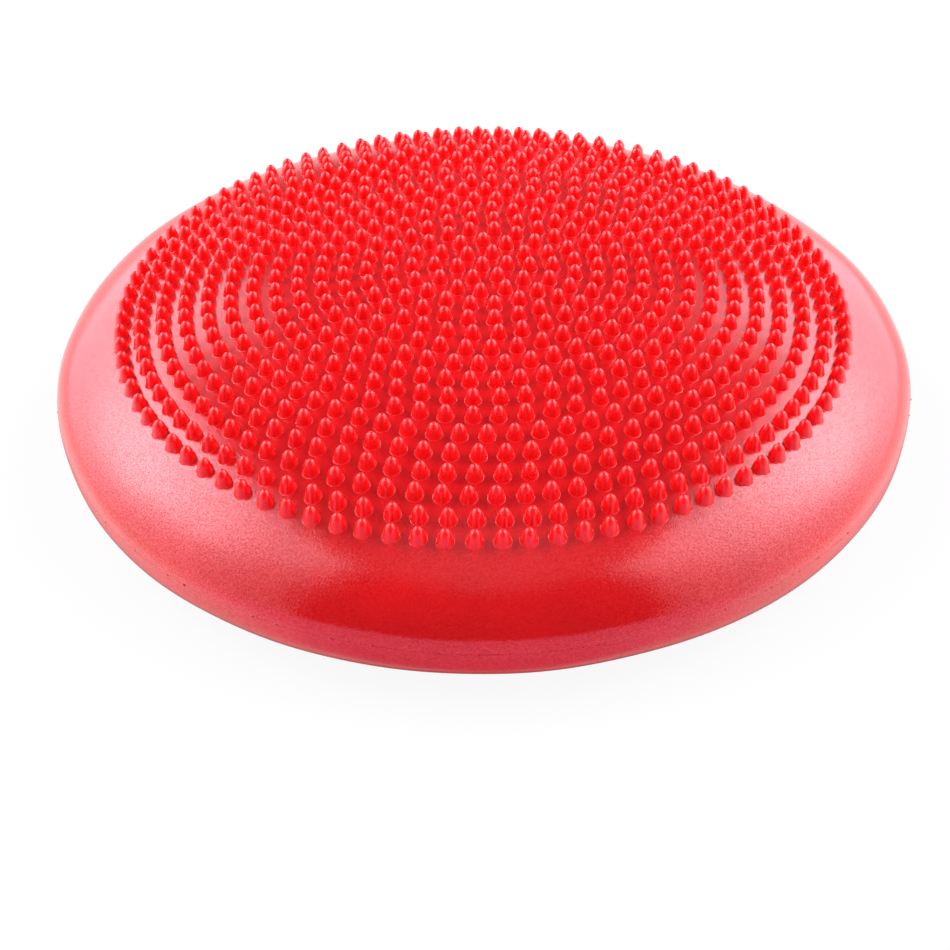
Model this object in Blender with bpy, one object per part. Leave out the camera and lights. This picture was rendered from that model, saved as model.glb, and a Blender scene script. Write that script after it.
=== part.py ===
"""Air-filled balance pad: a round hollow skin of soft vinyl with concentric rings of
pointed nubs on its upper face, a rounded side wall with a mould parting line at its widest,
a flat-bottomed underside, and an inflation valve at the back of the side wall.

Frame: origin on the floor under the centre, +Z up, -Y to the front, the valve at +Y.
The skin is divided into four zones: underside, lower side wall, upper side wall and
spiked top. Lengths are in metres.
"""

import math

import bmesh
import bpy
from mathutils import Matrix, Vector

MM = 0.001
FULL_TURN = 2 * math.pi

# ---- outline of the inflated skin ----
MAX_R = 165.0 * MM  # widest radius, at the parting line
PARTING_Z = 22.5 * MM
TOP_RISE = 40.6 * MM  # parting line to the middle of the top skin
TOP_POWER = 2.11  # roundness of the upper half: 2 is an ellipse
FLOOR_R = 100.0 * MM  # radius of the flat patch that rests on the floor
LOW_POWER = 3.08  # roundness of the lower half
SKIN = 3.2 * MM  # wall thickness

# ---- zones of the skin ----
LOW_SEAM_R = 150.0 * MM  # underside to lower side wall
TOP_SEAM_R = 143.0 * MM  # upper side wall to spiked top
GAP = 0.4 * MM  # clearance between neighbouring zones
BODY_SEGMENTS = 48
INNER_TOP_STEPS = 7  # from the rim to the middle of the spiked top's inner face

# ---- nubs ----
# How far each ring is turned, in shares of its own nub spacing, counted from the front.
RING_TURN = (
    0.6, 0.95, 0.5, 0.45, 0.6, 0.35, 0.85, 0.5,
    0.65, 0.6, 0.15, 0.8, 0.6, 0.35, 0.5, 0.45,
)
RINGS = len(RING_TURN)
NUBS_PER_RING_STEP = 6  # ring j holds 6 j nubs, round one nub in the middle
MORE_NUBS = {8: 2, 14: 1, 15: 1, 16: -1}  # but these rings hold this many more
FIRST_RING_R = 9.4 * MM
RING_PITCH = 8.62 * MM
LAST_RING_IN = 1.1 * MM  # the outermost ring sits this much closer in
NUB_HEIGHT = 5.2 * MM
NUB_HALF = 2.45 * MM  # half the width of a nub's foot
MIDDLE_NUB_R = 1.25 * NUB_HALF  # middle of the pad to a corner of the middle nub's foot
# The outer rings' spacing drifts slowly round the pad. Ring: (share of a step, waves, phase)
RING_DRIFT = {
    13: (0.1, 3, -0.3),
    14: (0.15, 3, -0.3),
    15: (0.25, 3, -0.3),
    16: (0.2, 2, 5.0),
}
NO_DRIFT = (0.0, 1, 0.0)
# Every nub is also a little off its place, by a sine of its own number and its ring's.
UNEVEN_SHARE = 0.03  # of a step
UNEVEN_PER_NUB = 2.4  # radians
UNEVEN_PER_RING = 1.7  # radians

# ---- valve ----
VALVE_Z = 31.0 * MM  # height of the valve's middle on the outer skin
FIT = 0.3 * MM  # clearance round the plug's head, the core and the collar
COLLAR_R = 7.0 * MM
COLLAR_BODY_R = 5.2 * MM
COLLAR_TAPER = 1.2 * MM  # length of the cone from the flange to the body
HEAD_R = 3.9 * MM
HEAD_DEPTH = 1.6 * MM
HEAD_RECESS = 0.1 * MM  # the head is this much thinner than HEAD_DEPTH
HEAD_CHAMFER = 0.3 * MM
STEM_R = 1.9 * MM
STEM_LENGTH = 6.0 * MM
STEM_TAPER = 1.2 * MM  # length of the stem's cone
STEM_TIP_R = 0.55 * STEM_R
BORE_R = 2.2 * MM
CORE_R = 3.4 * MM
CORE_LENGTH = 4.4 * MM
CORE_HOLE_R = 0.5 * MM
COLLAR_OUTLET_R = 3 * CORE_HOLE_R
HOLE_OUT = 6.0 * MM  # reach of the collar's hole outside the skin
HOLE_IN = 12.0 * MM  # and inside it
# Places along the valve's axis: 0 on the outer skin, negative inwards.
FACE = -0.9 * MM  # outer face of the collar and of the plug
POCKET_FLOOR = FACE - HEAD_DEPTH - FIT  # floor of the pocket for the plug's head
STEM_END = POCKET_FLOOR - STEM_LENGTH
CORE_OUTER = STEM_END - 0.8 * MM
CORE_INNER = CORE_OUTER - CORE_LENGTH
COLLAR_BACK = -15.6 * MM


def clear_scene():
    for old in list(bpy.data.objects):
        bpy.data.objects.remove(old, do_unlink=True)
    for old in list(bpy.data.meshes):
        bpy.data.meshes.remove(old)


def make_material(name, colour, roughness):
    material = bpy.data.materials.new(name)
    material.use_nodes = True
    shader = material.node_tree.nodes["Principled BSDF"]
    shader.inputs["Base Color"].default_value = (*colour, 1.0)
    shader.inputs["Roughness"].default_value = roughness
    return material


def add_object(name, mesh, material, smooth_degrees=40):
    mesh.materials.append(material)
    mesh.shade_smooth()
    mesh.set_sharp_from_angle(angle=math.radians(smooth_degrees))
    obj = bpy.data.objects.new(name, mesh)
    bpy.context.scene.collection.objects.link(obj)
    return obj


# ---- profile of the skin, as points (r, z) ----

RADIUS, HEIGHT = 0, 1  # places in a profile point


def power_pair(angle, power):
    """Cosine and sine of the angle, reshaped to follow a superellipse."""
    cosine, sine = max(math.cos(angle), 0.0), max(math.sin(angle), 0.0)
    return cosine ** (2 / power), sine ** (2 / power)


def top_point(angle):
    """Upper outline: angle 0 on the parting line, 90 degrees in the middle."""
    across, up = power_pair(angle, TOP_POWER)
    return MAX_R * across, PARTING_Z + TOP_RISE * up


def low_point(angle):
    """Lower outline: angle 0 on the parting line, 90 degrees at the flat patch."""
    across, down = power_pair(angle, LOW_POWER)
    return FLOOR_R + (MAX_R - FLOOR_R) * across, PARTING_Z - PARTING_Z * down


def top_height(r):
    return PARTING_Z + TOP_RISE * (1 - (r / MAX_R) ** TOP_POWER) ** (1 / TOP_POWER)


def angle_where(point, index, value):
    """The angle at which point(angle)[index] reaches value, by bisection.

    Both outlines run one way in r and in z.
    """
    low, high = 0.0, math.pi / 2
    rising = point(high)[index] > point(low)[index]
    for _ in range(60):
        middle = (low + high) / 2
        if (point(middle)[index] < value) == rising:
            low = middle
        else:
            high = middle
    return (low + high) / 2


def outward(r, z):
    """Outward unit normal (r, z) at a point of the skin's outline."""
    if z >= PARTING_Z:
        normal_r = (r / MAX_R) ** (TOP_POWER - 1) / MAX_R
        normal_z = ((z - PARTING_Z) / TOP_RISE) ** (TOP_POWER - 1) / TOP_RISE
    else:
        span = MAX_R - FLOOR_R
        normal_r = (max(r - FLOOR_R, 0.0) / span) ** (LOW_POWER - 1) / span
        normal_z = -(((PARTING_Z - z) / PARTING_Z) ** (LOW_POWER - 1)) / PARTING_Z
    length = math.hypot(normal_r, normal_z)
    return normal_r / length, normal_z / length


def inner_point(r, z):
    """The point on the inner face of the skin, SKIN behind an outer one."""
    normal_r, normal_z = outward(r, z)
    return max(r - SKIN * normal_r, 0.0), z - SKIN * normal_z


def outline(point, start, end, steps):
    return [point(start + (end - start) * i / steps) for i in range(steps + 1)]


# ---- mesh tools ----


def face_outwards(bm):
    """Turns every face of a closed body outwards."""
    bmesh.ops.recalc_face_normals(bm, faces=bm.faces)
    if bm.calc_volume(signed=True) < 0:
        bmesh.ops.reverse_faces(bm, faces=bm.faces)


def finish_mesh(bm, name):
    mesh = bpy.data.meshes.new(name)
    bm.to_mesh(mesh)
    bm.free()
    return mesh


def add_lathe(name, profile, segments, material):
    """A closed profile in the X-Z plane, turned about Z; points at x 0 become poles."""
    bm = bmesh.new()
    verts = [bm.verts.new((r, 0.0, z)) for r, z in profile]
    on_axis = [r < 1e-7 for r, _ in profile]
    edges = []
    for i in range(len(verts)):
        k = (i + 1) % len(verts)
        if not (on_axis[i] and on_axis[k]):
            edges.append(bm.edges.new((verts[i], verts[k])))
    bmesh.ops.spin(
        bm,
        geom=verts + edges,
        axis=(0, 0, 1),
        cent=(0, 0, 0),
        angle=FULL_TURN,
        steps=segments,
        use_merge=True,
    )
    bmesh.ops.remove_doubles(bm, verts=bm.verts, dist=1e-6)
    bmesh.ops.dissolve_degenerate(bm, dist=1e-7, edges=bm.edges)
    face_outwards(bm)
    return add_object(name, finish_mesh(bm, name), material)


def cut(obj, cutter):
    """Takes cutter out of obj and keeps it as a guide that isn't rendered."""
    cutter.hide_render = True
    cutter.display_type = "WIRE"
    modifier = obj.modifiers.new("cut_" + cutter.name, "BOOLEAN")
    modifier.operation = "DIFFERENCE"
    modifier.solver = "EXACT"
    modifier.object = cutter


# ---- smooth zones of the skin ----


def add_skin_zone(name, outer, material):
    """A zone of skin: the outer line, then the inner one back."""
    inner = [inner_point(r, z) for r, z in outer]
    return add_lathe(name, outer + inner[::-1], BODY_SEGMENTS, material)


def add_underside(material):
    """A flat round patch turning up towards the lower side wall."""
    edge = angle_where(low_point, RADIUS, LOW_SEAM_R - GAP / 2)
    curve = outline(low_point, edge, math.pi / 2, steps=5)
    flat = [(FLOOR_R, 0.0), (FLOOR_R / 2, 0.0), (0.0, 0.0)]
    add_skin_zone("underside", curve[:-1] + flat, material)


def add_lower_side_wall(material):
    parting = angle_where(low_point, HEIGHT, PARTING_Z - GAP / 2)
    seam = angle_where(low_point, RADIUS, LOW_SEAM_R + GAP / 2)
    add_skin_zone("lower_side_wall", outline(low_point, parting, seam, steps=6), material)


def add_upper_side_wall(material):
    parting = angle_where(top_point, HEIGHT, PARTING_Z + GAP / 2)
    seam = angle_where(top_point, RADIUS, TOP_SEAM_R + GAP / 2)
    return add_skin_zone("upper_side_wall", outline(top_point, seam, parting, steps=7), material)


# ---- spiked top; its rings of vertices are lists of (angle, vertex) ----


def nub_angles(ring):
    """The angles of a ring's nubs, a little uneven."""
    count = NUBS_PER_RING_STEP * ring + MORE_NUBS.get(ring, 0)
    step = FULL_TURN / count
    start = -math.pi / 2 + RING_TURN[ring - 1] * step
    drift, waves, phase = RING_DRIFT.get(ring, NO_DRIFT)
    angles = []
    for i in range(count):
        slow = drift * math.sin(waves * (start + step * i) + phase)
        uneven = UNEVEN_SHARE * math.sin(UNEVEN_PER_NUB * i + UNEVEN_PER_RING * ring)
        angles.append(start + step * (i + slow + uneven))
    return angles


def skin_ring(bm, r, angles):
    """Vertices on the outer top skin at radius r."""
    z = top_height(r)
    return [(a, bm.verts.new((r * math.cos(a), r * math.sin(a), z))) for a in angles]


def sorted_ring(ring):
    """The ring with its angles brought into one turn from -pi and sorted."""
    wrapped = [((angle + math.pi) % FULL_TURN - math.pi, vert) for angle, vert in ring]
    return sorted(wrapped, key=lambda item: item[0])


def stitch(bm, inner, outer):
    """Fills between two closed rings, each sorted by angle, with triangles."""
    inner = inner + [(inner[0][0] + FULL_TURN, inner[0][1])]
    outer = outer + [(outer[0][0] + FULL_TURN, outer[0][1])]
    i = k = 0
    while i < len(inner) - 1 or k < len(outer) - 1:
        outer_done = k == len(outer) - 1
        inner_next = i < len(inner) - 1 and inner[i + 1][0] <= outer[k + 1][0] \
            if not outer_done else True
        if inner_next:
            bm.faces.new((inner[i][1], outer[k][1], inner[i + 1][1]))
            i += 1
        else:
            bm.faces.new((inner[i][1], outer[k][1], outer[k + 1][1]))
            k += 1


def add_outer_face(bm, rim_angles):
    """The outer skin with flat nub feet. Returns the feet and the rim's vertices."""
    corners = [math.pi / 4 + i * math.pi / 2 for i in range(4)]
    last = skin_ring(bm, MIDDLE_NUB_R, corners)
    feet = [bm.faces.new([vert for _, vert in last])]
    last = sorted_ring(last)
    for ring in range(1, RINGS + 1):
        r = FIRST_RING_R + (ring - 1) * RING_PITCH - (LAST_RING_IN if ring == RINGS else 0.0)
        half = NUB_HALF / r
        angles = [side for a in nub_angles(ring) for side in (a - half, a + half)]
        near = skin_ring(bm, r - NUB_HALF, angles)
        far = skin_ring(bm, r + NUB_HALF, angles)
        for i in range(len(near)):
            k = (i + 1) % len(near)
            face = bm.faces.new((near[i][1], far[i][1], far[k][1], near[k][1]))
            if i % 2 == 0:  # the odd faces lie between two nubs
                feet.append(face)
        stitch(bm, last, sorted_ring(near))
        last = sorted_ring(far)
    rim = skin_ring(bm, TOP_SEAM_R - GAP / 2, rim_angles)
    stitch(bm, last, rim)
    return feet, [vert for _, vert in rim]


def add_inner_face(bm, rim_angles, rim):
    """The edge of the zone and the inner face, from the rim's vertices to the middle."""
    previous = rim
    for step in range(INNER_TOP_STEPS):
        outer_r = (TOP_SEAM_R - GAP / 2) * (1 - step / INNER_TOP_STEPS)
        r, z = inner_point(outer_r, top_height(outer_r))
        ring = [bm.verts.new((r * math.cos(a), r * math.sin(a), z)) for a in rim_angles]
        for i in range(BODY_SEGMENTS):
            k = (i + 1) % BODY_SEGMENTS
            bm.faces.new((previous[i], ring[i], ring[k], previous[k]))
        previous = ring
    pole = bm.verts.new((0, 0, top_height(0.0) - SKIN))
    for i in range(BODY_SEGMENTS):
        bm.faces.new((previous[i], pole, previous[(i + 1) % BODY_SEGMENTS]))


def add_spiked_top(material):
    """The top of the skin, each nub's foot poked straight up to a point."""
    bm = bmesh.new()
    rim_angles = [-math.pi + FULL_TURN * i / BODY_SEGMENTS for i in range(BODY_SEGMENTS)]
    feet, rim = add_outer_face(bm, rim_angles)
    add_inner_face(bm, rim_angles, rim)
    face_outwards(bm)
    poked = bmesh.ops.poke(bm, faces=feet, offset=0.0, use_relative_offset=False)
    for tip in poked["verts"]:
        tip.co.z += NUB_HEIGHT
    face_outwards(bm)
    add_object("spiked_top", finish_mesh(bm, "spiked_top"), material, smooth_degrees=25)


# ---- valve; profiles are (radius, place along the axis) ----


def add_valve_seat():
    """An empty on the outer skin at the back, its Z along the outward normal."""
    r, z = top_point(angle_where(top_point, HEIGHT, VALVE_Z))
    seat = bpy.data.objects.new("valve_axis", None)
    bpy.context.scene.collection.objects.link(seat)
    out = Vector((0, *outward(r, z)))
    side = Vector((1, 0, 0))
    down = out.cross(side)  # down along the skin
    frame = Matrix((side, down, out)).transposed().to_4x4()
    frame.translation = Vector((0, r, z))
    seat.matrix_world = frame
    return seat


def add_valve_collar(seat, material):
    profile = [
        (COLLAR_R, FACE),
        (COLLAR_R, FACE - SKIN),
        (COLLAR_BODY_R, FACE - SKIN - COLLAR_TAPER),
        (COLLAR_BODY_R, COLLAR_BACK),
        (COLLAR_OUTLET_R, COLLAR_BACK),
        (COLLAR_OUTLET_R, CORE_INNER - FIT),
        (CORE_R + FIT, CORE_INNER - FIT),
        (CORE_R + FIT, CORE_OUTER + FIT),
        (BORE_R, CORE_OUTER + FIT),
        (BORE_R, POCKET_FLOOR),
        (HEAD_R + FIT, POCKET_FLOOR),
        (HEAD_R + FIT, FACE),
    ]
    add_lathe("valve_collar", profile, 24, material).parent = seat


def add_valve_core(seat, material):
    profile = [
        (CORE_R, CORE_OUTER),
        (CORE_R, CORE_INNER),
        (CORE_HOLE_R, CORE_INNER),
        (CORE_HOLE_R, CORE_OUTER),
    ]
    add_lathe("valve_core", profile, 16, material).parent = seat


def add_valve_plug(seat, material):
    head_back = FACE - HEAD_DEPTH + HEAD_RECESS
    profile = [
        (0.0, FACE),
        (HEAD_R - HEAD_CHAMFER, FACE),
        (HEAD_R, FACE - HEAD_CHAMFER),
        (HEAD_R, head_back),
        (STEM_R, head_back),
        (STEM_R, STEM_END + STEM_TAPER),
        (STEM_TIP_R, STEM_END),
        (0.0, STEM_END),
    ]
    add_lathe("valve_plug", profile, 20, material).parent = seat


def cut_collar_hole(seat, wall, material):
    hole_r = COLLAR_R + FIT
    profile = [(0, HOLE_OUT), (hole_r, HOLE_OUT), (hole_r, -HOLE_IN), (0, -HOLE_IN)]
    cutter = add_lathe("collar_hole", profile, 20, material)
    cutter.parent = seat
    cut(wall, cutter)


# ---- materials and assembly ----

clear_scene()

RED = (0.80, 0.02, 0.025)
underside_red = make_material("red_vinyl_underside", colour=RED, roughness=0.42)
lower_red = make_material("red_vinyl_lower_wall", colour=RED, roughness=0.38)
upper_red = make_material("red_vinyl_upper_wall", colour=RED, roughness=0.38)
nub_red = make_material("red_vinyl_nubs", colour=(0.85, 0.012, 0.015), roughness=0.30)
collar_red = make_material("red_vinyl_collar", colour=(0.62, 0.015, 0.02), roughness=0.40)
core_black = make_material("black_rubber", colour=(0.02, 0.02, 0.02), roughness=0.60)
plug_grey = make_material("pale_plug", colour=(0.75, 0.74, 0.72), roughness=0.45)

add_underside(underside_red)
add_lower_side_wall(lower_red)
upper_wall = add_upper_side_wall(upper_red)
add_spiked_top(nub_red)

valve_seat = add_valve_seat()
add_valve_collar(valve_seat, collar_red)
add_valve_core(valve_seat, core_black)
add_valve_plug(valve_seat, plug_grey)
cut_collar_hole(valve_seat, upper_wall, collar_red)
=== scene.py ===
"""Air-filled balance pad: a moulded red vinyl skin with rings of nubs on top, a parting line
round its side and a valve in the side wall at the back, in a bright studio. The pad stands
on z = 0, centred on the Z axis; +Z is up and -Y the front. Shapes are worked out in mm and
scaled to metres when they become meshes."""

import math

import bmesh
import bpy
import numpy as np
from mathutils import Matrix, Vector
from mathutils.geometry import delaunay_2d_cdt


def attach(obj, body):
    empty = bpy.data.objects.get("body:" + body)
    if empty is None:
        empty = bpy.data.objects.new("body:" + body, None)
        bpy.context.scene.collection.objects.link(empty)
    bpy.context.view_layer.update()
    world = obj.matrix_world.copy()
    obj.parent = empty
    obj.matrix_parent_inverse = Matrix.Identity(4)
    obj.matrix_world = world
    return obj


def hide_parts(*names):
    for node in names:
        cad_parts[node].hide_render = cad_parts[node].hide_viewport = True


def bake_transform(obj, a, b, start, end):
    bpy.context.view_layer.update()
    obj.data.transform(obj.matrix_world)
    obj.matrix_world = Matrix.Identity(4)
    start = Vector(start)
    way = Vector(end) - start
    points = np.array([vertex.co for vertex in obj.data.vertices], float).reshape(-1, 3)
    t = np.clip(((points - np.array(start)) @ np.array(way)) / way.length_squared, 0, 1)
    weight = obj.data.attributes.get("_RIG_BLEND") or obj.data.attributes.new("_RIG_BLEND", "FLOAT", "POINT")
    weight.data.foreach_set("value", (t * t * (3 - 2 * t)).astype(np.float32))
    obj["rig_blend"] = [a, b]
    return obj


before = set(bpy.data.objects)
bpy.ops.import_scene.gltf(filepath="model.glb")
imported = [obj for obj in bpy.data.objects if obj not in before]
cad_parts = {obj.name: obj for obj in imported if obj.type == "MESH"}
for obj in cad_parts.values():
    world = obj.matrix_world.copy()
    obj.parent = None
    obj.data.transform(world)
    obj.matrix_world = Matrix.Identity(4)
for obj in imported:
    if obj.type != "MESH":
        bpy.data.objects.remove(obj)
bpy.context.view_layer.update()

MM = 0.001

# ---- dimensions (mm) ----------------------------------------------------------------------
R_MAX = 165.0  # outer radius, at the parting line
Z_PART = 22.5  # height of the parting line
TOP_RISE = 40.6  # parting line to the crown of the top skin
TOP_POWER = 2.11  # exponent of the top's superellipse
FLOOR_R = 100.0  # flat patch that rests on the floor
LOW_POWER = 3.08
SKIN = 3.2
R_LOW_SEAM = 150.0  # underside to lower side wall
R_TOP_SEAM = 143.0  # side wall to the nub field
SEAM_STRIP = 0.35  # narrow row of faces along a seam of the side wall

# unevenness of the side wall: height, waves round the pad, phase, phase per mm up
LUMPS = (
    (0.20, 3, 0.9, 0.0),
    (0.16, 5, -0.4, 0.03),
    (0.13, 8, 2.2, -0.05),
    (0.09, 13, 0.7, 0.09),
    (0.05, 21, 1.9, -0.16),
)

GROOVED_R = 96.0  # part of the underside that has shallow rings
GROOVES = (24.0, 40.0, 56.0, 72.0, 88.0)
GROOVE_DEEP = 0.45
GROOVE_HALF = 2.2

RING_1 = 9.4
PITCH = 8.62
LAST_RING = 16
LAST_RING_IN = 1.1  # the last ring sits this much closer in
MORE_NUBS = {8: 2, 14: 1, 15: 1, 16: -1}  # rings that do not hold six nubs per ring number
# turn of each ring, as a share of its step between nubs
RING_TURN = (
    0.6, 0.95, 0.5, 0.45, 0.6, 0.35, 0.85, 0.5,
    0.65, 0.6, 0.15, 0.8, 0.6, 0.35, 0.5, 0.45,
)
# the outer rings' spacing drifts slowly round the pad: (share of a step, waves, phase)
RING_DRIFT = {13: (0.1, 3, -0.3), 14: (0.15, 3, -0.3), 15: (0.25, 3, -0.3), 16: (0.2, 2, 5.0)}
NUB_H = 5.2
NUB_FOOT = 2.85  # half width of a nub where its side meets the skin
TIP_LONG = 2.45  # rounded part of a nub
TIP_HALF = 1.68
NUB_TAPER = 0.225  # half width gained per mm down
FOOT_MARGIN = 0.35  # ring of skin points round each foot
EDGE_MARGIN = 0.5  # ring of skin points inside each cut edge

# parts of the nub field: name, first ring, last ring, inner radius, outer radius
SPLIT_A = 82.65
SPLIT_B = 117.15
FIELDS = (
    ("spiked_top_middle", 0, 9, 0.0, SPLIT_A),
    ("spiked_top_inner_rings", 10, 13, SPLIT_A, SPLIT_B),
    ("spiked_top_outer_rings", 14, LAST_RING, SPLIT_B, R_TOP_SEAM),
)
BLEND_OUT = 141.0  # the field follows the pad's top more and more between these radii
BLEND_IN = 84.5

# valve; heights run along its axis from the outer skin, outwards positive
VALVE_Z = 31.0
COLLAR_R = 7.0
COLLAR_BODY_R = 5.2
COLLAR_DEEP = 15.6
HEAD_R = 3.9
HEAD_T = 1.6
STEM_R = 1.9
STEM_L = 6.0
BORE_R = 2.2
CORE_R = 3.4
CORE_L = 4.4
FIT = 0.3
FACE = -0.9  # outer face of collar and plug
POCKET = FACE - HEAD_T - FIT  # floor of the recess for the plug's head
CORE_TOP = POCKET - STEM_L - 0.8
CORE_END = CORE_TOP - CORE_L
HOLE_GAP = 0.25

TURN = 288  # points round the seams
WALL_STEPS = 26
UNDER_STEPS = 26
NUB_SEG = 20
BEAD_SEG = 96


# ---- form ---------------------------------------------------------------------------------
def smooth(share):
    share = np.clip(share, 0.0, 1.0)
    return share * share * (3 - 2 * share)


def top_z(radius):
    fall = (np.asarray(radius, float) / R_MAX) ** TOP_POWER
    return Z_PART + TOP_RISE * np.clip(1 - fall, 0, 1) ** (1 / TOP_POWER)


def top_normal(radius, z):
    """(radial, vertical) parts of the outward normal of the upper skin."""
    radial = (np.asarray(radius, float) / R_MAX) ** (TOP_POWER - 1) / R_MAX
    rise = np.maximum(np.asarray(z, float) - Z_PART, 0) / TOP_RISE
    upward = rise ** (TOP_POWER - 1) / TOP_RISE
    length = np.hypot(radial, upward)
    return radial / length, upward / length


def top_arc(angle):
    """(radius, height) on the upper skin, from the parting line (0) to the crown."""
    return (
        R_MAX * math.cos(angle) ** (2 / TOP_POWER),
        Z_PART + TOP_RISE * math.sin(angle) ** (2 / TOP_POWER),
    )


def low_arc(angle):
    """(radius, height) on the lower skin, from the parting line (0) to the flat patch."""
    return (
        FLOOR_R + (R_MAX - FLOOR_R) * math.cos(angle) ** (2 / LOW_POWER),
        Z_PART - Z_PART * math.sin(angle) ** (2 / LOW_POWER),
    )


def low_normal(radius, z):
    span = R_MAX - FLOOR_R
    radial = (max(radius - FLOOR_R, 0.0) / span) ** (LOW_POWER - 1) / span
    upward = -((max(Z_PART - z, 0.0) / Z_PART) ** (LOW_POWER - 1)) / Z_PART
    length = math.hypot(radial, upward)
    return radial / length, upward / length


def angle_at(arc, index, value):
    """The arc's parameter where its radius (index 0) or height (index 1) is value."""
    low, high = 0.0, math.pi / 2
    rising = arc(high)[index] > arc(low)[index]
    for _ in range(60):
        middle = (low + high) / 2
        if (arc(middle)[index] < value) == rising:
            low = middle
        else:
            high = middle
    return (low + high) / 2


def lumps(angle, z):
    """Slight unevenness of the skin round the side wall, along its normal."""
    return sum(
        height * np.sin(waves * angle + phase + twist * z)
        for height, waves, phase, twist in LUMPS
    )


def low_reach(radius):
    """How much of the unevenness the lower skin takes up."""
    return smooth((np.asarray(radius, float) - 122.0) / 28.0)


def top_reach(radius):
    return smooth((np.asarray(radius, float) - R_TOP_SEAM) / 14.0)


def inset(outline, normals):
    """The inner side of a skin, from (radius, z) points of its outer side."""
    return [
        (radius - radial * SKIN, z - upward * SKIN)
        for (radius, z), (radial, upward) in zip(outline, normals)
    ]


LOW_SEAM = angle_at(low_arc, 0, R_LOW_SEAM)
TOP_SEAM = angle_at(top_arc, 0, R_TOP_SEAM)


# ---- meshes -------------------------------------------------------------------------------
def signed_volume(points, faces):
    volume = 0.0
    for size in (3, 4):
        sized = np.array([face for face in faces if len(face) == size], int).reshape(-1, size)
        for i in range(1, size - 1):
            first, second, third = (points[sized[:, k]] for k in (0, i, i + 1))
            volume += float(np.einsum("ij,ij->", first, np.cross(second, third)))
    return volume


def make(name, verts, faces, mats, mat_ids=None, sharp=55):
    """A smooth shaded object from points in mm; faces turned outwards."""
    points = np.asarray(verts, float)
    if signed_volume(points, faces) < 0:
        faces = [face[::-1] for face in faces]
    mesh = bpy.data.meshes.new(name)
    mesh.from_pydata((points * MM).tolist(), [], faces)
    for mat in mats:
        mesh.materials.append(mat)
    if mat_ids is not None:
        mesh.polygons.foreach_set("material_index", np.asarray(mat_ids, np.int32))
    mesh.shade_smooth()
    mesh.set_sharp_from_angle(angle=math.radians(sharp))
    mesh.update()
    obj = bpy.data.objects.new(name, mesh)
    bpy.context.scene.collection.objects.link(obj)
    return obj


def circle(radius, seg=TURN):
    angles = [2 * math.pi * i / seg for i in range(seg)]
    return [(radius * math.cos(angle), radius * math.sin(angle)) for angle in angles]


def spun(profile, seg, closed=True):
    """Points and faces of a profile [(radius, z)] turned about Z; radius 0 becomes a pole."""
    verts, rows = [], []
    for radius, z in profile:
        ring = [(0.0, 0.0)] if radius < 1e-9 else circle(radius, seg)
        rows.append(range(len(verts), len(verts) + len(ring)))
        verts += [(x, y, z) for x, y in ring]
    faces = []
    pairs = list(zip(rows, rows[1:]))
    if closed:
        pairs.append((rows[-1], rows[0]))
    for here, there in pairs:
        for i in range(seg):
            j = (i + 1) % seg
            if len(here) == 1:
                faces.append((here[0], there[i], there[j]))
            elif len(there) == 1:
                faces.append((here[i], there[0], here[j]))
            else:
                faces.append((here[i], there[i], there[j], here[j]))
    return np.array(verts, float), faces


def tube_faces(rows, seg):
    """Faces of rows of seg points, joined up both ways."""
    faces = []
    for row in range(rows):
        here, there = row * seg, (row + 1) % rows * seg
        for i in range(seg):
            j = (i + 1) % seg
            faces.append((here + i, there + i, there + j, here + j))
    return faces


def swell(verts, angle, radial, upward, amount):
    """Push points along a normal by amount, but never below the floor."""
    verts[:, 0] += np.cos(angle) * radial * amount
    verts[:, 1] += np.sin(angle) * radial * amount
    verts[:, 2] = np.maximum(verts[:, 2] + upward * amount, 0.0)


def wall(name, arc, normal, start, end, reach):
    """A band of the side wall with its real thickness, between two parameters of its arc."""
    near = SEAM_STRIP / math.dist(arc(start), arc(end))
    shares = [0.0, near] + [i / WALL_STEPS for i in range(1, WALL_STEPS)] + [1 - near, 1.0]
    outer = [arc(start + (end - start) * share) for share in shares]
    normals = [normal(*point) for point in outer]
    verts, faces = spun(outer + inset(outer, normals)[::-1], TURN)
    # both sides of the skin move with the outer one
    radius, z = np.repeat(outer + outer[::-1], TURN, axis=0).T
    radial, upward = np.repeat(normals + normals[::-1], TURN, axis=0).T
    angle = np.arctan2(verts[:, 1], verts[:, 0])
    swell(verts, angle, radial, upward, lumps(angle, z) * reach(radius))
    return make(name, verts, faces, [skin_mat])


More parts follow.
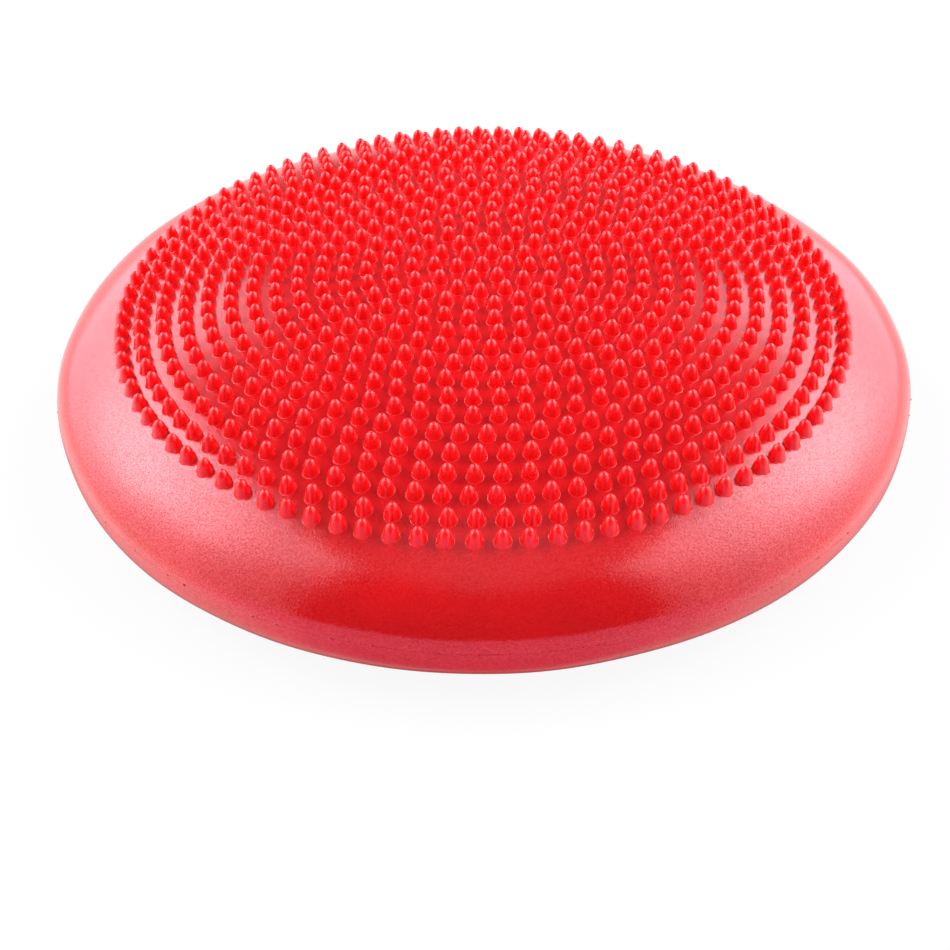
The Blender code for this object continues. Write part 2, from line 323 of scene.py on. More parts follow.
# ---- node trees ---------------------------------------------------------------------------
class Nodes:
    """Short names for building a node tree."""

    def __init__(self, tree):
        self.tree = tree

    def add(self, kind, inputs=None, **settings):
        node = self.tree.nodes.new(kind)
        for key, value in settings.items():
            setattr(node, key, value)
        for key, value in (inputs or {}).items():
            self.put(node.inputs[key], value)
        return node

    def put(self, socket, value):
        if isinstance(value, bpy.types.NodeSocket):
            self.tree.links.new(value, socket)
        else:
            socket.default_value = value

    def span(self, value, at, to, **settings):
        """Map the range at onto the range to."""
        inputs = {"Value": value, "From Min": at[0], "From Max": at[1]}
        inputs.update({"To Min": to[0], "To Max": to[1]})
        return self.add("ShaderNodeMapRange", inputs, **settings).outputs["Result"]

    def soft_span(self, value, at, to):
        return self.span(value, at, to, interpolation_type="SMOOTHSTEP")

    def math(self, kind, first, second=0.0, clamp=False):
        inputs = {0: first, 1: second}
        return self.add("ShaderNodeMath", inputs, operation=kind, use_clamp=clamp).outputs[0]

    def plus(self, first, second):
        return self.math("ADD", first, second)

    def times(self, first, second):
        return self.math("MULTIPLY", first, second)

    def squares(self, first, second):
        return self.plus(self.times(first, first), self.times(second, second))

    def split(self, vector):
        return self.add("ShaderNodeSeparateXYZ", {0: vector}).outputs

    def mix(self, share, first, second):
        """Mix two (red, green, blue) colours."""
        inputs = {"Factor": share, 6: (*first, 1.0), 7: (*second, 1.0)}
        return self.add("ShaderNodeMix", inputs, data_type="RGBA").outputs[2]


class MaterialNodes(Nodes):
    """A new material's nodes, round its Principled shader."""

    def __init__(self, name):
        self.mat = bpy.data.materials.new(name)
        self.mat.use_nodes = True
        super().__init__(self.mat.node_tree)
        self.bsdf = self.tree.nodes["Principled BSDF"]
        self.coord = self.add("ShaderNodeTexCoord").outputs["Object"]

    def surface(self, inputs):
        for key, value in inputs.items():
            self.put(self.bsdf.inputs[key], value)

    def noise(self, scale, detail=2.0, rough=0.5, offset=None):
        vector = self.coord
        if offset:
            inputs = {0: self.coord, 1: offset}
            vector = self.add("ShaderNodeVectorMath", inputs, operation="ADD").outputs[0]
        inputs = {"Vector": vector, "Scale": scale, "Detail": detail, "Roughness": rough}
        return self.add("ShaderNodeTexNoise", inputs).outputs["Fac"]

    def bump(self, height, distance, strength=1.0, normal=None):
        inputs = {"Height": height, "Distance": distance, "Strength": strength}
        if normal is not None:
            inputs["Normal"] = normal
        return self.add("ShaderNodeBump", inputs).outputs["Normal"]


# ---- materials ----------------------------------------------------------------------------
CLOUD_SHARE, SAND_SHARE = 0.45, 0.55  # what the vinyl's colour follows
FINE_GRAIN = 0.10  # height of the finest grain, as a share of the sandy one
GLOW_DEEP = 3.0  # how far light spreads inside glowing vinyl, in mm


def vinyl(name, colour, deep, rough, grain, speck=0.05, fleck=0.16, glow=0.0):
    """Soft moulded vinyl: cloudy colour, a sandy mould grain and slow waves in the gloss.

    grain is the grain's height in mm; speck and fleck are how far the roughness and the
    specular level vary with it; glow is the subsurface weight.
    """
    nodes = MaterialNodes(name)
    cloud = nodes.noise(scale=28.0, detail=3.0, rough=0.55)
    sand = nodes.noise(scale=1500.0, rough=0.6, offset=(0.13, 0.27, 0.41))
    fine = nodes.noise(scale=2700.0, detail=1.0, offset=(0.5, 0.1, 0.9))
    tone = nodes.plus(nodes.times(cloud, CLOUD_SHARE), nodes.times(sand, SAND_SHARE))
    tone = nodes.span(tone, at=(0.36, 0.64), to=(0.0, 1.0))
    colour = nodes.mix(tone, deep, colour)
    sand_rough = nodes.span(sand, at=(0.3, 0.7), to=(rough - speck, rough + speck))
    cloud_rough = nodes.span(cloud, at=(0.3, 0.7), to=(0.02, -0.02))
    nodes.surface({
        "Base Color": colour,
        "Roughness": nodes.math("ADD", sand_rough, cloud_rough, clamp=True),
        "IOR": 1.5,
        "Specular IOR Level": nodes.span(sand, at=(0.35, 0.65), to=(0.5 - fleck, 0.5 + fleck)),
    })
    waves = nodes.bump(nodes.noise(scale=46.0), distance=0.0004, strength=0.5)
    sandy = nodes.bump(sand, distance=grain * MM, normal=waves)
    finest = nodes.bump(fine, distance=grain * MM * FINE_GRAIN, normal=sandy)
    nodes.surface({"Normal": finest})
    if glow:
        nodes.surface({
            "Subsurface Weight": glow,
            "Subsurface Radius": (1.0, 0.05, 0.04),
            "Subsurface Scale": GLOW_DEEP * MM,
        })
    return nodes.mat


def rubber():
    nodes = MaterialNodes("black_rubber_core")
    dust = nodes.noise(scale=420.0, detail=3.0, rough=0.6)
    dusty = nodes.span(dust, at=(0.4, 0.7), to=(0.0, 1.0))
    nodes.surface({
        "Base Color": nodes.mix(dusty, (0.012, 0.012, 0.013), (0.030, 0.029, 0.028)),
        "Roughness": nodes.span(dust, at=(0.3, 0.7), to=(0.55, 0.75)),
        "Normal": nodes.bump(
            nodes.noise(scale=1500.0, rough=0.6), distance=0.00004, strength=0.8
        ),
    })
    return nodes.mat


def plastic():
    nodes = MaterialNodes("pale_plastic_plug")
    cloud = nodes.noise(scale=260.0, detail=3.0, rough=0.6)
    tone = nodes.span(cloud, at=(0.35, 0.65), to=(0.0, 1.0))
    nodes.surface({
        "Base Color": nodes.mix(tone, (0.66, 0.65, 0.61), (0.76, 0.75, 0.72)),
        "Roughness": nodes.span(
            nodes.noise(scale=700.0, rough=0.6), at=(0.3, 0.7), to=(0.34, 0.48)
        ),
        "Normal": nodes.bump(
            nodes.noise(scale=1900.0, rough=0.6), distance=0.00002, strength=0.7
        ),
        "Subsurface Weight": 0.15,
        "Subsurface Radius": (1.0, 0.9, 0.8),
        "Subsurface Scale": 0.001,
    })
    return nodes.mat


skin_mat = vinyl(
    "red_vinyl_skin", colour=(0.60, 0.0046, 0.0062), deep=(0.46, 0.0034, 0.0050),
    rough=0.12, grain=0.040, fleck=0.20,
)
nub_mat = vinyl(
    "red_vinyl_nubs", colour=(0.84, 0.0034, 0.0046), deep=(0.80, 0.0030, 0.0042),
    rough=0.29, grain=0.012, speck=0.02, fleck=0.04, glow=0.5,
)
seam_mat = vinyl(
    "red_vinyl_parting_line", colour=(0.50, 0.0060, 0.0085), deep=(0.44, 0.0045, 0.0065),
    rough=0.28, grain=0.03,
)
under_mat = vinyl(
    "red_vinyl_underside", colour=(0.54, 0.0042, 0.0060), deep=(0.47, 0.0035, 0.0055),
    rough=0.30, grain=0.12,
)
collar_mat = vinyl(
    "red_vinyl_collar", colour=(0.50, 0.0045, 0.0065), deep=(0.42, 0.0036, 0.0055),
    rough=0.30, grain=0.03,
)


# ---- underside and lower side wall --------------------------------------------------------
def underside_outline():
    """(radius, z) points and normals: the ringed flat patch, then the curve to the seam."""
    outline = []
    for radius in np.linspace(0.0, GROOVED_R, 97):
        away = min(abs(radius - groove) for groove in GROOVES)
        outline.append((float(radius), GROOVE_DEEP * float(smooth(1 - away / GROOVE_HALF))))
    normals = [(0.0, -1.0)] * len(outline)
    for step in range(1, UNDER_STEPS + 1):
        along = step / UNDER_STEPS * 6  # up to 1 is the plain rim of the flat patch
        if along > 1:
            point = low_arc(math.pi / 2 + (LOW_SEAM - math.pi / 2) * ((along - 1) / 5))
            outline.append(point)
            normals.append(low_normal(*point))
        else:
            outline.append((GROOVED_R + (FLOOR_R - GROOVED_R) * along, 0.0))
            normals.append((0.0, -1.0))
    # one more row close to the seam
    point = low_arc(LOW_SEAM + SEAM_STRIP / 90.0)
    outline.insert(-1, point)
    normals.insert(-1, low_normal(*point))
    return outline, normals


def build_underside():
    outline, normals = underside_outline()
    inside = inset(outline, normals)[::3]
    verts, faces = spun(outline + inside[::-1], TURN, closed=False)
    angle = np.arctan2(verts[:, 1], verts[:, 0])
    reach = low_reach(np.hypot(verts[:, 0], verts[:, 1]))
    radial, upward = low_normal(*low_arc(LOW_SEAM))
    swell(verts, angle, radial, upward, lumps(angle, verts[:, 2]) * reach * reach)
    underside = make("underside_skin", verts, faces, [under_mat])
    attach(underside, "base")
    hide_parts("underside")


def build_lower_wall():
    lower = wall("lower_side_wall_skin", low_arc, low_normal, LOW_SEAM, 0.0, low_reach)
    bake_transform(lower, "base", "rim", start=(0, 0, 0.0040), end=(0, 0, 0.0223))
    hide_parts("lower_side_wall")


# ---- nub field ----------------------------------------------------------------------------
def nub_half_width(down):
    """Half width, a distance below the tip: a rounded tip on a straight-sided cone."""
    tip = math.sqrt(1 - (1 - min(down, TIP_LONG) / TIP_LONG) ** 2)
    return TIP_HALF * tip + NUB_TAPER * down


def nub_rows():
    """(half width, height) up a nub, from the hair-thin moulded ring round its foot."""
    foot_ring = ((0.28, 0.0), (0.20, 0.07), (0.10, 0.10), (0.03, 0.06))
    rows = [(NUB_FOOT + wider, height) for wider, height in foot_ring]
    downs = [4.9, 3.7]
    for degrees in (0, 14, 28, 41, 54, 66, 78):
        downs.append(TIP_LONG * (1 - math.sin(math.radians(degrees))))
    return rows + [(nub_half_width(down), NUB_H - down) for down in downs]


def nub_places(first, last):
    """Every nub of these rings as (radius, angle, number); ring 0 is the one in the middle."""
    places = []
    for ring in range(first, last + 1):
        if ring == 0:
            places.append((0.0, 0.0, 0))
            continue
        count = 6 * ring + MORE_NUBS.get(ring, 0)
        step = 2 * math.pi / count
        start = -math.pi / 2 + RING_TURN[ring - 1] * step
        drift, waves, phase = RING_DRIFT.get(ring, (0.0, 1, 0.0))
        radius = RING_1 + (ring - 1) * PITCH - (LAST_RING_IN if ring == LAST_RING else 0.0)
        for i in range(count):
            slow = drift * math.sin(waves * (start + step * i) + phase)
            uneven = 0.03 * math.sin(2.4 * i + 1.7 * ring)
            places.append((radius, start + step * (i + slow + uneven), ring * 100 + i))
    return places


def nub_frames(first, last):
    """Foot centres, unit circles round them, tilts of the tips and heights of the nubs."""
    radius, angle, number = np.array(nub_places(first, last), float).T
    cos, sin, zero = np.cos(angle), np.sin(angle), np.zeros_like(radius)
    centre = np.stack((radius * cos, radius * sin, top_z(radius)), 1)
    outward = np.stack((cos, sin, zero), 1)
    sideways = np.stack((-sin, cos, zero), 1)
    around = 2 * math.pi * (np.arange(NUB_SEG) + 0.5) / NUB_SEG
    circles = (
        np.cos(around)[None, :, None] * outward[:, None, :]
        + np.sin(around)[None, :, None] * sideways[:, None, :]
    )
    lean = 0.10 * (
        np.cos(number * 2.1)[:, None] * outward + np.sin(number * 1.7)[:, None] * sideways
    )
    tall = 1 + 0.012 * np.sin(number * 1.37) + 0.008 * np.sin(number * 0.41 + 1)
    return centre, circles, lean, tall


def loop_edges(start, count):
    return [(start + i, start + (i + 1) % count) for i in range(count)]


def skin_plan(centre, circles, r_in, r_out):
    """The skin seen from above: points, edges to keep, each point's hole (-1 for none) and
    the index of the first foot point. The inner cut edge, if any, starts at 2 * TURN."""
    plan = circle(r_out) + circle(r_out - EDGE_MARGIN)
    edges = loop_edges(0, TURN)
    if r_in > 0:
        plan += circle(r_in) + circle(r_in + EDGE_MARGIN)
        edges += loop_edges(2 * TURN, TURN)
    feet, nubs = len(plan), len(centre)
    foot = nub_rows()[0][0]
    for half in (foot, foot + FOOT_MARGIN):
        plan += (centre[:, None, :] + half * circles)[:, :, :2].reshape(-1, 2).tolist()
    holes = [-1] * len(plan)
    for k in range(nubs):
        start = feet + k * NUB_SEG
        edges += loop_edges(start, NUB_SEG)
        holes[start : start + NUB_SEG] = [k] * NUB_SEG
    if r_in > 0:
        holes[2 * TURN : 3 * TURN] = [nubs] * TURN
    return plan, edges, holes, feet


def skin_triangles(plan, edges, holes):
    """Triangles between the points of the plan, facing up, without those across a hole."""
    found = delaunay_2d_cdt([Vector(point) for point in plan], edges, [], 0, 1e-6, True)
    source = [origin[0] for origin in found[3]]
    if len(source) != len(plan):
        raise RuntimeError("the skin's triangulation changed its points")
    faces = []
    for triangle in found[2]:
        a, b, c = (source[i] for i in triangle)
        if holes[a] >= 0 and holes[a] == holes[b] == holes[c]:
            continue
        (ax, ay), (bx, by), (cx, cy) = plan[a], plan[b], plan[c]
        area = (bx - ax) * (cy - ay) - (by - ay) * (cx - ax)
        faces.append((a, b, c) if area > 0 else (a, c, b))
    return faces


def raise_nubs(centre, circles, lean, tall, feet, total):
    """Points, their radii and faces of the nubs over the foot points; total points exist."""
    points, radii, faces = [], [], []
    around = np.arange(NUB_SEG)[None, :]
    start = np.arange(len(centre))[:, None] * NUB_SEG
    here, after = start + around, start + (around + 1) % NUB_SEG
    below = feet
    for half, height in nub_rows()[1:]:
        ring = centre[:, None, :] + half * circles
        reach = np.hypot(ring[:, :, 0], ring[:, :, 1])
        # the foot follows the dome, the upper part is level
        drop = (top_z(reach) - ring[:, :, 2]) * (1 - float(smooth(height / 3.0)))
        ring += (lean * (height / NUB_H) ** 2)[:, None, :]
        ring[:, :, 2] += drop + (height * tall)[:, None]
        points += ring.reshape(-1, 3).tolist()
        radii += reach.reshape(-1).tolist()
        band = np.stack((below + here, below + after, total + after, total + here), 2)
        faces += [tuple(face) for face in band.reshape(-1, 4).tolist()]
        below, total = total, total + here.size
    points += (centre + np.outer(NUB_H * tall, (0, 0, 1)) + lean).tolist()
    radii += np.hypot(centre[:, 0], centre[:, 1]).tolist()
    tip = np.repeat(total + np.arange(len(centre)), NUB_SEG).reshape(here.shape)
    caps = np.stack((below + here, below + after, tip), 2).reshape(-1, 3)
    faces += [tuple(face) for face in caps.tolist()]
    return points, radii, faces


def band_faces(outer, inner):
    pairs = [(i, (i + 1) % TURN) for i in range(TURN)]
    return [(outer[j], outer[i], inner[i], inner[j]) for i, j in pairs]


def add_inner_side(verts, radii, faces, r_in, r_out):
    """Close the skin with its inner side and its cut edges."""
    previous = range(TURN)
    steps = max(3, int((r_out - r_in) / 4))
    for step in range(steps + 1):
        radius = r_out + (r_in - r_out) * step / steps
        z = float(top_z(radius))
        inside_r, inside_z = inset([(radius, z)], [top_normal(radius, z)])[0]
        if radius < 1e-6:
            pole = len(verts)
            faces += [(previous[(i + 1) % TURN], previous[i], pole) for i in range(TURN)]
            verts.append((0.0, 0.0, inside_z))
            radii.append(0.0)
            return
        current = range(len(verts), len(verts) + TURN)
        verts += [(x, y, inside_z) for x, y in circle(inside_r)]
        radii += [radius] * TURN
        faces += band_faces(previous, current)
        previous = current
    faces += band_faces(previous, range(2 * TURN, 3 * TURN))


def shade_as_dome(obj, verts, skin_faces):
    """Shade the skin between the nubs as the smooth dome it is, whatever its triangles."""
    points = np.array(verts)
    radius = np.maximum(np.hypot(points[:, 0], points[:, 1]), 1e-6)
    radial, upward = top_normal(radius, top_z(radius))
    out_x, out_y = (points[:, k] / radius * radial for k in (0, 1))
    normals = np.column_stack((out_x, out_y, upward))
    corners = np.zeros(len(obj.data.loops), np.int32)
    obj.data.loops.foreach_get("vertex_index", corners)
    custom = np.zeros((len(corners), 3))  # zero leaves a corner's normal alone
    custom[: 3 * skin_faces] = normals[corners[: 3 * skin_faces]]
    obj.data.normals_split_custom_set(custom.tolist())


def nub_field(name, first, last, r_in, r_out):
    """A part of the top skin between two radii, with its nubs moulded on, as one closed mesh;
    also how far each point follows the top: 0 at the field's edge, 1 well inside."""
    centre, circles, lean, tall = nub_frames(first, last)
    plan, edges, holes, feet = skin_plan(centre, circles, r_in, r_out)
    faces = skin_triangles(plan, edges, holes)
    skin_faces = len(faces)
    radii = np.hypot(*np.array(plan).T)
    verts = np.column_stack((plan, top_z(radii))).tolist()
    nubs = raise_nubs(centre, circles, lean, tall, feet, len(plan))
    verts += nubs[0]
    radii = radii.tolist() + nubs[1]
    faces += nubs[2]
    mat_ids = [0] * skin_faces + [1] * len(nubs[2])
    add_inner_side(verts, radii, faces, r_in, r_out)
    mat_ids += [0] * (len(faces) - len(mat_ids))
    obj = make(name, verts, faces, [skin_mat, nub_mat], mat_ids)
    shade_as_dome(obj, verts, skin_faces)
    return obj, smooth((BLEND_OUT - np.array(radii)) / (BLEND_OUT - BLEND_IN))


def build_spiked_top():
    fields = [nub_field(*field) for field in FIELDS]
    middle = fields[0][0]
    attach(middle, "top")
    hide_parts("spiked_top")
    start, end = (BLEND_OUT / 1000, 0, 0), (BLEND_IN / 1000, 0, 0)
    for obj, weight in fields[1:]:
        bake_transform(obj, "shoulder", "top", start=start, end=end)
        blend = obj.data.attributes["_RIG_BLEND"].data
        blend.foreach_set("value", weight.astype(np.float32))


# ---- valve --------------------------------------------------------------------------------
seat_r, seat_z = top_arc(angle_at(top_arc, 1, VALVE_Z))
seat_radial, seat_upward = top_normal(seat_r, seat_z)
valve_axis = Vector((0, float(seat_radial), float(seat_upward)))
across = Vector((1, 0, 0))
down_wall = valve_axis.cross(across)
# from a shape standing on Z to its place on the skin
seat = Matrix((across, down_wall, valve_axis)).transposed().to_4x4()
seat.translation = Vector((0, seat_r * MM, seat_z * MM))

# bead round the hole: (distance from the valve's axis, height over the skin)
BEAD = (
    (7.25, -2.2), (7.25, -0.1), (7.32, 0.16), (7.6, 0.36), (8.1, 0.42), (8.8, 0.34),
    (9.5, 0.16), (10.1, 0.02), (10.5, -0.06), (10.4, -0.5), (8.5, -2.2),
)

# the valve's turned parts: (radius, height)
COLLAR = (
    (COLLAR_R - 0.5, FACE),
    (COLLAR_R - 0.15, FACE - 0.12),
    (COLLAR_R, FACE - 0.5),
    (COLLAR_R, FACE - SKIN + 0.3),
    (COLLAR_R - 0.3, FACE - SKIN),
    (COLLAR_BODY_R + 0.3, FACE - SKIN - 1.0),
    (COLLAR_BODY_R, FACE - SKIN - 1.5),
    (COLLAR_BODY_R, -COLLAR_DEEP + 0.6),
    (COLLAR_BODY_R - 0.6, -COLLAR_DEEP),
    (1.9, -COLLAR_DEEP),
    (1.5, -COLLAR_DEEP + 0.4),
    (1.5, CORE_END - FIT),
    (CORE_R + FIT, CORE_END - FIT),
    (CORE_R + FIT, CORE_TOP + FIT),
    (BORE_R, CORE_TOP + FIT),
    (BORE_R, POCKET - 0.3),
    (BORE_R + 0.3, POCKET),
    (HEAD_R + FIT, POCKET),
    (HEAD_R + FIT, FACE - 0.35),
    (HEAD_R + FIT + 0.1, FACE - 0.1),
    (HEAD_R + FIT + 0.4, FACE),
    (HEAD_R + FIT + 0.9, FACE + 0.02),
    (COLLAR_R - 1.2, FACE + 0.02),
)
CORE = (
    (CORE_R - 0.25, CORE_TOP),
    (CORE_R, CORE_TOP - 0.25),
    (CORE_R, CORE_END + 0.25),
    (CORE_R - 0.25, CORE_END),
    (0.6, CORE_END),
    (0.22, CORE_END + 0.4),
    (0.22, CORE_TOP - 0.6),
    (0.9, CORE_TOP - 0.12),
    (1.3, CORE_TOP),
)
PLUG = (
    (0.0, FACE - 0.25),
    (1.3, FACE - 0.25),
    (1.7, FACE - 0.2),
    (2.0, FACE - 0.02),
    (2.3, FACE),
    (HEAD_R - 0.35, FACE),
    (HEAD_R - 0.1, FACE - 0.1),
    (HEAD_R, FACE - 0.35),
    (HEAD_R, FACE - HEAD_T + 0.35),
    (HEAD_R - 0.1, FACE - HEAD_T + 0.15),
    (HEAD_R - 0.3, FACE - HEAD_T + 0.1),
    (STEM_R + 0.3, FACE - HEAD_T + 0.1),
    (STEM_R + 0.02, FACE - HEAD_T - 0.15),
    (STEM_R, POCKET - 0.8),
    (STEM_R + 0.12, POCKET - 1.3),
    (STEM_R + 0.12, POCKET - 1.7),
    (STEM_R - 0.12, POCKET - 2.1),
    (STEM_R - 0.12, POCKET - 2.9),
    (STEM_R + 0.12, POCKET - 3.3),
    (STEM_R + 0.12, POCKET - 3.7),
    (STEM_R - 0.05, POCKET - 4.2),
    (STEM_R - 0.05, POCKET - STEM_L + 1.2),
    (STEM_R * 0.62, POCKET - STEM_L + 0.15),
    (STEM_R * 0.5, POCKET - STEM_L),
    (0.0, POCKET - STEM_L),
)


def on_seat(obj):
    obj.data.transform(seat)
    obj.data.update()
    return obj


def lathe(name, profile, mat, seg=64, closed=True):
    verts, faces = spun(profile, seg, closed)
    return on_seat(make(name, verts, faces, [mat], sharp=40))


def skin_height(distance, angle):
    """Height of the outer skin over the seat's plane, at this place round the valve's axis."""
    base = seat.translation / MM + across * (distance * math.cos(angle))
    base += down_wall * (distance * math.sin(angle))
    low, high = -6.0, 3.0
    for _ in range(40):
        middle = (low + high) / 2
        point = base + valve_axis * middle
        radius = math.hypot(point.x, point.y)
        if radius < R_MAX and point.z < float(top_z(radius)):
            low = middle
        else:
            high = middle
    return (low + high) / 2


def cut_valve_hole(upper):
    radius = COLLAR_R + HOLE_GAP
    profile = [(0.0, 6.0), (radius, 6.0), (radius, -12.0), (0.0, -12.0)]
    cutter = lathe("valve_hole", profile, collar_mat, seg=96, closed=False)
    cut = upper.modifiers.new("valve_hole", "BOOLEAN")
    cut.operation = "DIFFERENCE"
    cut.solver = "EXACT"
    cut.object = cutter
    bpy.context.view_layer.update()
    evaluated = upper.evaluated_get(bpy.context.evaluated_depsgraph_get())
    done = bpy.data.meshes.new_from_object(evaluated)
    upper.modifiers.clear()
    old = upper.data
    upper.data = done
    bpy.data.meshes.remove(old)
    bpy.data.objects.remove(cutter)


def add_valve_bead(upper):
    """A low moulded bead round the hole, following the curve of the wall."""
    verts = []
    for distance, height in BEAD:
        for i, (x, y) in enumerate(circle(distance, BEAD_SEG)):
            angle = 2 * math.pi * i / BEAD_SEG
            verts.append((x, y, skin_height(distance, angle) + height))
    faces = tube_faces(len(BEAD), BEAD_SEG)
    bead = on_seat(make("valve_bead", verts, faces, [skin_mat], sharp=50))
    join = bmesh.new()
    join.from_mesh(upper.data)
    join.from_mesh(bead.data)
    for face in join.faces:
        face.smooth = True
    join.to_mesh(upper.data)
    join.free()
    bpy.data.objects.remove(bead)
    upper.data.set_sharp_from_angle(angle=math.radians(50))


def finish_upper_wall(upper):
    cut_valve_hole(upper)
    add_valve_bead(upper)
    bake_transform(upper, "rim", "shoulder", start=(0, 0, 0.0227), end=(0, 0, 0.0438))
    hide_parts("upper_side_wall")


def build_valve():
    collar = lathe("valve_collar_moulding", COLLAR, collar_mat)
    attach(collar, "rim")
    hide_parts("valve_collar")

    core = lathe("valve_core_rubber", CORE, rubber(), seg=48)
    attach(core, "rim")
    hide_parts("valve_core")

    plug = lathe("valve_plug_stopper", PLUG, plastic(), closed=False)
    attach(plug, "stopper")
    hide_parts("valve_plug")


# ---- parting line -------------------------------------------------------------------------
RIDGE_TURN = 2304
RIDGE_SEG = 8  # points round the ridge's section
RIDGE_SUNK = 0.25  # depth of the section's centre in the skin
NIBS = 90


def build_parting_line():
    """A hair-thin ridge of flash where the mould's halves met, with small nibs on it."""
    angle = np.arange(RIDGE_TURN) * 2 * math.pi / RIDGE_TURN
    rnd = np.random.RandomState(7)
    proud = 0.05 + 0.02 * np.sin(7 * angle + 1) + 0.02 * np.sin(31 * angle)
    proud += 0.02 * rnd.rand(RIDGE_TURN)
    thick = 0.17 + 0.03 * np.sin(11 * angle + 2) + 0.03 * rnd.rand(RIDGE_TURN)
    for place in rnd.randint(0, RIDGE_TURN, NIBS):
        size = 0.10 + 0.28 * rnd.rand()
        for offset, share in ((-1, 0.45), (0, 1.0), (1, 0.45)):
            proud[(place + offset) % RIDGE_TURN] += size * share
            thick[(place + offset) % RIDGE_TURN] += size * 0.8 * share
    drift = 0.03 * np.sin(2 * angle + 0.5) + 0.03 * np.sin(9 * angle)
    around = 2 * math.pi * np.arange(RIDGE_SEG) / RIDGE_SEG
    centre = R_MAX + lumps(angle, Z_PART) - RIDGE_SUNK
    radius = centre[:, None] + np.outer(RIDGE_SUNK + proud, np.cos(around))
    z = Z_PART + drift[:, None] + np.outer(thick, np.sin(around))
    x, y = radius * np.cos(angle)[:, None], radius * np.sin(angle)[:, None]
    verts = np.stack((x, y, z), 2).reshape(-1, 3)
    faces = tube_faces(RIDGE_TURN, RIDGE_SEG)
    ridge = make("parting_line", verts, faces, [seam_mat], sharp=80)
    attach(ridge, "rim")


# ---- studio -------------------------------------------------------------------------------
FLOOR_FRONT, FLOOR_SIDE = 1.6, 2.3  # floor light the pad sees
FLOOR_TINT = (1.0, 0.52, 0.78)  # its colour in front
SIDE_TINT = (1.0, 0.93, 0.95)
FLOOR_GLOW = 0.92  # share of plain white the camera sees in the floor
FLOOR_SIZE = 7.0  # radius in metres
FLOOR_DROP = 0.0002


def floor_material():
    nodes = MaterialNodes("pale_floor")
    tone = nodes.noise(scale=3.0)
    nodes.surface({
        "Base Color": nodes.mix(tone, (0.72, 0.72, 0.72), (0.76, 0.76, 0.76)),
        "Roughness": 0.9,
        "Specular IOR Level": 0.1,
    })
    seen = nodes.add("ShaderNodeLightPath").outputs["Is Camera Ray"]
    white = nodes.add("ShaderNodeEmission", {"Color": (1, 1, 1, 1), "Strength": 1.0})
    shaders = {0: FLOOR_GLOW, 1: nodes.bsdf.outputs[0], 2: white.outputs[0]}
    to_camera = nodes.add("ShaderNodeMixShader", shaders)

    # what the pad sees: bright at both sides, less in front, dark behind; round the pad's foot the floor
    # light is cut down as a painted shadow of the pad
    x, y = nodes.split(nodes.coord)[:2]
    far = nodes.math("SQRT", nodes.squares(x, y))
    incoming = nodes.add("ShaderNodeNewGeometry").outputs["Incoming"]
    ray_x, ray_y = nodes.split(incoming)[:2]
    level = nodes.math("SQRT", nodes.squares(ray_x, ray_y))
    # 1 seen looking to the front, -1 to the back
    toward = nodes.math("DIVIDE", ray_y, nodes.math("MAXIMUM", level, 1e-4))
    front = nodes.span(toward, at=(0.95, 0.40), to=(FLOOR_FRONT, FLOOR_SIDE))
    tinted = nodes.span(toward, at=(0.15, 0.75), to=(0.0, 1.0))
    tint = nodes.mix(tinted, SIDE_TINT, FLOOR_TINT)
    behind = nodes.span(toward, at=(-0.35, -0.95), to=(1.0, 0.42))
    # painted shadow: the floor's light fades to a tenth under and round the pad, where the pad's own shadow
    # falls
    painted_pad_shadow = nodes.span(far, at=(0.150, 0.195), to=(0.10, 1.0))
    lit = nodes.times(front, nodes.times(behind, painted_pad_shadow))
    to_pad = nodes.add("ShaderNodeEmission", {"Color": tint, "Strength": lit})
    shaders = {0: seen, 1: to_pad.outputs[0], 2: to_camera.outputs[0]}
    both = nodes.add("ShaderNodeMixShader", shaders)
    nodes.put(nodes.tree.nodes["Material Output"].inputs["Surface"], both.outputs[0])
    return nodes.mat


def build_floor():
    mesh = bpy.data.meshes.new("studio_floor")
    rim = [(x, y, 0.0) for x, y in circle(FLOOR_SIZE, 96)]
    faces = [(0, i + 1, (i + 1) % 96 + 1) for i in range(96)]
    mesh.from_pydata([(0, 0, 0)] + rim, [], faces)
    mesh.materials.append(floor_material())
    floor = bpy.data.objects.new("studio_floor", mesh)
    floor.location = (0, 0, -FLOOR_DROP)
    bpy.context.scene.collection.objects.link(floor)


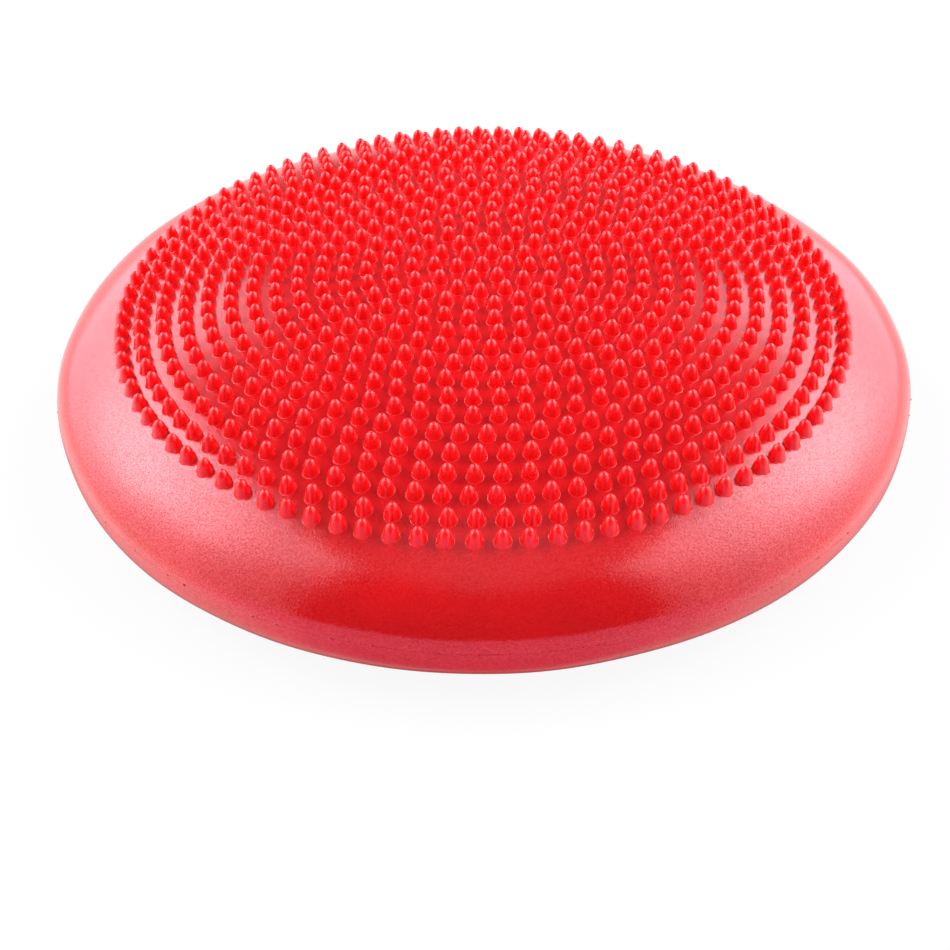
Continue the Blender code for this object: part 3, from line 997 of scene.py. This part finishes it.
def build_world():
    """A large diffusing panel on each side, brightest behind the pad's shoulder; a grey
    ceiling; nothing bright in front or straight behind. The camera sees plain white."""
    world = bpy.data.worlds.new("studio")
    bpy.context.scene.world = world
    world.use_nodes = True
    world.node_tree.nodes.clear()
    nodes = Nodes(world.node_tree)
    x, y, z = nodes.split(nodes.add("ShaderNodeTexCoord").outputs["Generated"])
    level = nodes.math("SQRT", nodes.plus(nodes.squares(x, y), 1e-5))
    # 1 on the camera's side, -1 behind
    facing = nodes.math("DIVIDE", nodes.times(y, -1.0), level)
    aside = nodes.math("ABSOLUTE", x)

    def along(vector):
        """The direction's part along a vector, alike on left and right."""
        side, depth, height = vector
        rest = nodes.plus(nodes.times(y, depth), nodes.times(z, height))
        return nodes.plus(nodes.times(aside, side), rest)

    def edge(normal, blur):
        """1 on one side of a plane through the pad, 0 on the other: a panel's edge."""
        return nodes.soft_span(along(normal), at=(-blur, blur), to=(0.0, 1.0))

    def glare(turn, lift, tight, power):
        """A soft bright spot on both panels; in degrees, turn 0 is the camera's side."""
        turn, lift = math.radians(turn), math.radians(lift)
        flat = math.cos(lift)
        near = along((math.sin(turn) * flat, -math.cos(turn) * flat, math.sin(lift)))
        fall = nodes.times(nodes.math("SUBTRACT", near, 1.0), tight)
        return nodes.times(nodes.math("EXPONENT", fall), power)

    front_edge = edge((0.726, 0.667, -0.167), blur=0.014)
    top_edge = edge((0.888, -0.323, -0.325), blur=0.012)
    far_end = nodes.times(
        nodes.soft_span(z, at=(0.52, 0.61), to=(1.0, 0.0)),
        nodes.soft_span(facing, at=(-0.80, -0.70), to=(1.0, 0.0)),
    )
    panel = nodes.times(front_edge, nodes.math("MAXIMUM", top_edge, far_end))
    even = nodes.soft_span(facing, at=(0.75, 0.0), to=(1.1, 2.5))
    not_behind = nodes.soft_span(facing, at=(-0.956, -0.932), to=(0.0, 1.0))
    glow = nodes.plus(
        glare(turn=120, lift=39, tight=17.0, power=6.3),
        glare(turn=154, lift=32, tight=20.0, power=0.7),
    )
    panel_light = nodes.times(nodes.plus(even, glow), not_behind)
    overhead = nodes.soft_span(z, at=(0.93, 1.0), to=(0.0, 0.55))
    ceiling = nodes.times(overhead, nodes.math("SUBTRACT", 1.0, panel))
    dim = 0.15  # light from everywhere else
    sky = nodes.plus(dim, nodes.plus(nodes.times(panel, panel_light), ceiling))
    seen = nodes.add("ShaderNodeLightPath").outputs["Is Camera Ray"]
    strength = nodes.plus(nodes.times(sky, nodes.math("SUBTRACT", 1.0, seen)), seen)
    colour = nodes.mix(seen, (0.97, 0.96, 1.07), (1.0, 1.0, 1.0))
    back = nodes.add("ShaderNodeBackground", {"Color": colour, "Strength": strength})
    nodes.add("ShaderNodeOutputWorld", {0: back.outputs[0]})


def build_camera():
    scene = bpy.context.scene
    scene.view_settings.view_transform = "Standard"
    scene.view_settings.look = "None"
    scene.view_settings.exposure = 0.0
    scene.view_settings.gamma = 1.0
    data = bpy.data.cameras.new("camera")
    data.sensor_width = 36.0
    data.lens = 63.88
    camera = bpy.data.objects.new("camera", data)
    scene.collection.objects.link(camera)
    look = Vector((-0.0051, 0.7765, -0.6300)).normalized()
    right = look.cross(Vector((0.0066, 0.6301, 0.7765))).normalized()
    turned = Matrix((right, right.cross(look), -look)).transposed().to_4x4()
    camera.matrix_world = Matrix.Translation((0, -0.5454, 0.4048)) @ turned
    scene.camera = camera


build_underside()
build_lower_wall()
upper_wall = wall("upper_side_wall_skin", top_arc, top_normal, 0.0, TOP_SEAM, top_reach)
build_spiked_top()
finish_upper_wall(upper_wall)
build_valve()
build_parting_line()
build_floor()
build_world()
build_camera()

bpy.context.view_layer.update()
